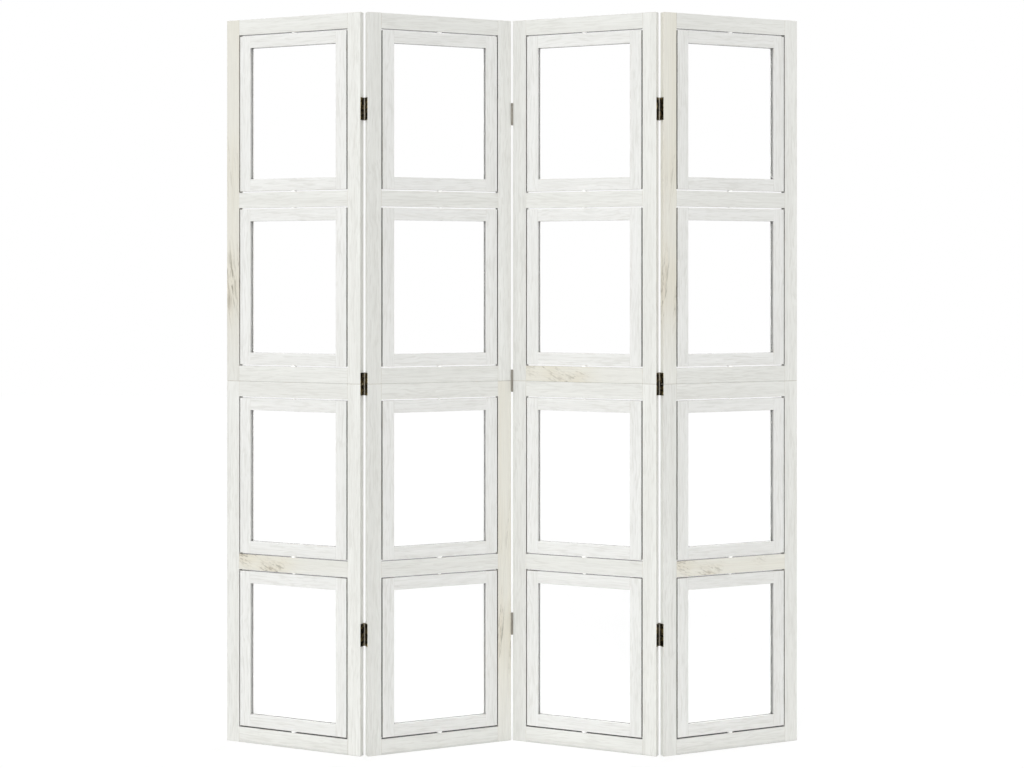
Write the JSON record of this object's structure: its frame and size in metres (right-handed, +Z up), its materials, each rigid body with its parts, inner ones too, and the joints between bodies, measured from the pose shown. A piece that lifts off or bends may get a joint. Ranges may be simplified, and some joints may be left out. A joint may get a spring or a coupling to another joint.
{
  "type": "photo frame room divider",
  "caption": "Folding room divider of hinged white-washed wood panels that hold turning photo frames with clear sheets.",
  "frame": {"origin": "on the floor, in the middle of the screen's outline as it stands", "axes": "+X along the screen, -Y towards the front, +Z up"},
  "size_m": [1.3074, 0.1532, 1.65],
  "materials": {
    "white_washed_wood": "white-washed, satin",
    "bare_wood": "bare",
    "white_nylon": "satin",
    "aged_bronze": "dark bronze plating, worn",
    "clear_acrylic": "clear, polished"
  },
  "bodies": {
    "panel_1": {"panel_1_stiles": "white_washed_wood", "panel_1_rails": "white_washed_wood", "panel_1_dowels": "bare_wood", "panel_1_pivot_pins": "white_nylon", "panel_1_hinge_leaves": "aged_bronze", "panel_1_hinge_screws": "aged_bronze", "fold_1_hinge_pins": "aged_bronze"},
    "panel_2": {"panel_2_stiles": "white_washed_wood", "panel_2_rails": "white_washed_wood", "panel_2_dowels": "bare_wood", "panel_2_pivot_pins": "white_nylon", "panel_2_hinge_leaves": "aged_bronze", "panel_2_hinge_screws": "aged_bronze", "fold_2_hinge_pins": "aged_bronze"},
    "panel_3": {"panel_3_stiles": "white_washed_wood", "panel_3_rails": "white_washed_wood", "panel_3_dowels": "bare_wood", "panel_3_pivot_pins": "white_nylon", "panel_3_hinge_leaves": "aged_bronze", "panel_3_hinge_screws": "aged_bronze", "fold_3_hinge_pins": "aged_bronze"},
    "panel_4": {"panel_4_stiles": "white_washed_wood", "panel_4_rails": "white_washed_wood", "panel_4_dowels": "bare_wood", "panel_4_pivot_pins": "white_nylon", "panel_4_hinge_leaves": "aged_bronze", "panel_4_hinge_screws": "aged_bronze"},
    "turning_frame_1_1": {"photo_frame_1_1": "white_washed_wood", "clear_sheets_1_1": "clear_acrylic"},
    "turning_frame_1_2": {"photo_frame_1_2": "white_washed_wood", "clear_sheets_1_2": "clear_acrylic"},
    "turning_frame_1_3": {"photo_frame_1_3": "white_washed_wood", "clear_sheets_1_3": "clear_acrylic"},
    "turning_frame_1_4": {"photo_frame_1_4": "white_washed_wood", "clear_sheets_1_4": "clear_acrylic"},
    "turning_frame_2_1": {"photo_frame_2_1": "white_washed_wood", "clear_sheets_2_1": "clear_acrylic"},
    "turning_frame_2_2": {"photo_frame_2_2": "white_washed_wood", "clear_sheets_2_2": "clear_acrylic"},
    "turning_frame_2_3": {"photo_frame_2_3": "white_washed_wood", "clear_sheets_2_3": "clear_acrylic"},
    "turning_frame_2_4": {"photo_frame_2_4": "white_washed_wood", "clear_sheets_2_4": "clear_acrylic"},
    "turning_frame_3_1": {"photo_frame_3_1": "white_washed_wood", "clear_sheets_3_1": "clear_acrylic"},
    "turning_frame_3_2": {"photo_frame_3_2": "white_washed_wood", "clear_sheets_3_2": "clear_acrylic"},
    "turning_frame_3_3": {"photo_frame_3_3": "white_washed_wood", "clear_sheets_3_3": "clear_acrylic"},
    "turning_frame_3_4": {"photo_frame_3_4": "white_washed_wood", "clear_sheets_3_4": "clear_acrylic"},
    "turning_frame_4_1": {"photo_frame_4_1": "white_washed_wood", "clear_sheets_4_1": "clear_acrylic"},
    "turning_frame_4_2": {"photo_frame_4_2": "white_washed_wood", "clear_sheets_4_2": "clear_acrylic"},
    "turning_frame_4_3": {"photo_frame_4_3": "white_washed_wood", "clear_sheets_4_3": "clear_acrylic"},
    "turning_frame_4_4": {"photo_frame_4_4": "white_washed_wood", "clear_sheets_4_4": "clear_acrylic"}
  },
  "joints": [
    {"name": "fold_1", "type": "hinge", "parent": "panel_2", "child": "panel_1", "pos_m": [-0.32791, -0.06138, 0.825], "axis": [0, 0, -1], "range_deg": [-47.4, 132.6]},
    {"name": "fold_2", "type": "hinge", "parent": "panel_2", "child": "panel_3", "pos_m": [0, 0.06138, 0.825], "axis": [0, 0, -1], "range_deg": [-47.4, 132.6]},
    {"name": "fold_3", "type": "hinge", "parent": "panel_3", "child": "panel_4", "pos_m": [0.32791, -0.06138, 0.825], "axis": [0, 0, 1], "range_deg": [-47.4, 132.6]},
    {"name": "frame_1_1_turn", "type": "hinge", "parent": "panel_1", "child": "turning_frame_1_1", "pos_m": [-0.49186, 0, 1.43502], "axis": [0, 0, 1], "continuous": true},
    {"name": "frame_1_2_turn", "type": "hinge", "parent": "panel_1", "child": "turning_frame_1_2", "pos_m": [-0.49186, 0, 1.04008], "axis": [0, 0, 1], "continuous": true},
    {"name": "frame_1_3_turn", "type": "hinge", "parent": "panel_1", "child": "turning_frame_1_3", "pos_m": [-0.49186, 0, 0.60993], "axis": [0, 0, 1], "continuous": true},
    {"name": "frame_1_4_turn", "type": "hinge", "parent": "panel_1", "child": "turning_frame_1_4", "pos_m": [-0.49186, 0, 0.21497], "axis": [0, 0, 1], "continuous": true},
    {"name": "frame_2_1_turn", "type": "hinge", "parent": "panel_2", "child": "turning_frame_2_1", "pos_m": [-0.16395, 0, 1.43502], "axis": [0, 0, 1], "continuous": true},
    {"name": "frame_2_2_turn", "type": "hinge", "parent": "panel_2", "child": "turning_frame_2_2", "pos_m": [-0.16395, 0, 1.04008], "axis": [0, 0, 1], "continuous": true},
    {"name": "frame_2_3_turn", "type": "hinge", "parent": "panel_2", "child": "turning_frame_2_3", "pos_m": [-0.16395, 0, 0.60993], "axis": [0, 0, 1], "continuous": true},
    {"name": "frame_2_4_turn", "type": "hinge", "parent": "panel_2", "child": "turning_frame_2_4", "pos_m": [-0.16395, 0, 0.21497], "axis": [0, 0, 1], "continuous": true},
    {"name": "frame_3_1_turn", "type": "hinge", "parent": "panel_3", "child": "turning_frame_3_1", "pos_m": [0.16395, 0, 1.43502], "axis": [0, 0, 1], "continuous": true},
    {"name": "frame_3_2_turn", "type": "hinge", "parent": "panel_3", "child": "turning_frame_3_2", "pos_m": [0.16395, 0, 1.04008], "axis": [0, 0, 1], "continuous": true},
    {"name": "frame_3_3_turn", "type": "hinge", "parent": "panel_3", "child": "turning_frame_3_3", "pos_m": [0.16395, 0, 0.60993], "axis": [0, 0, 1], "continuous": true},
    {"name": "frame_3_4_turn", "type": "hinge", "parent": "panel_3", "child": "turning_frame_3_4", "pos_m": [0.16395, 0, 0.21497], "axis": [0, 0, 1], "continuous": true},
    {"name": "frame_4_1_turn", "type": "hinge", "parent": "panel_4", "child": "turning_frame_4_1", "pos_m": [0.49186, 0, 1.43502], "axis": [0, 0, 1], "continuous": true},
    {"name": "frame_4_2_turn", "type": "hinge", "parent": "panel_4", "child": "turning_frame_4_2", "pos_m": [0.49186, 0, 1.04008], "axis": [0, 0, 1], "continuous": true},
    {"name": "frame_4_3_turn", "type": "hinge", "parent": "panel_4", "child": "turning_frame_4_3", "pos_m": [0.49186, 0, 0.60993], "axis": [0, 0, 1], "continuous": true},
    {"name": "frame_4_4_turn", "type": "hinge", "parent": "panel_4", "child": "turning_frame_4_4", "pos_m": [0.49186, 0, 0.21497], "axis": [0, 0, 1], "continuous": true}
  ]
}
